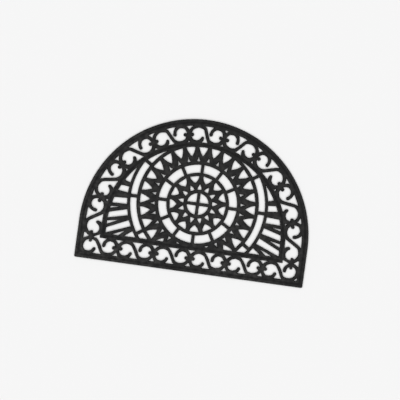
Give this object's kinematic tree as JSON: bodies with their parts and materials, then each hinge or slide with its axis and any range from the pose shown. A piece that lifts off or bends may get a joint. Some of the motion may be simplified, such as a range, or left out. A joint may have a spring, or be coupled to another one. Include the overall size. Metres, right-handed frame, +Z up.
{
  "type": "rubber doormat",
  "caption": "Half-round openwork rubber doormat: a flat moulded plate pierced with S-scrolls, rings, rays and sunbursts, its straight edge to the front.",
  "frame": {"origin": "middle of the bounding box, on the underside that lies on the floor", "axes": "+X along the straight front edge to the right, +Y from the front edge towards the round back, +Z up through the thickness"},
  "size_m": [0.6, 0.4, 0.008],
  "materials": {
    "rubber": "near-black charcoal moulded rubber, matt with a faint satin sheen on the raised bars"
  },
  "bodies": {
    "root": {"mat": "rubber"}
  },
  "joints": []
}
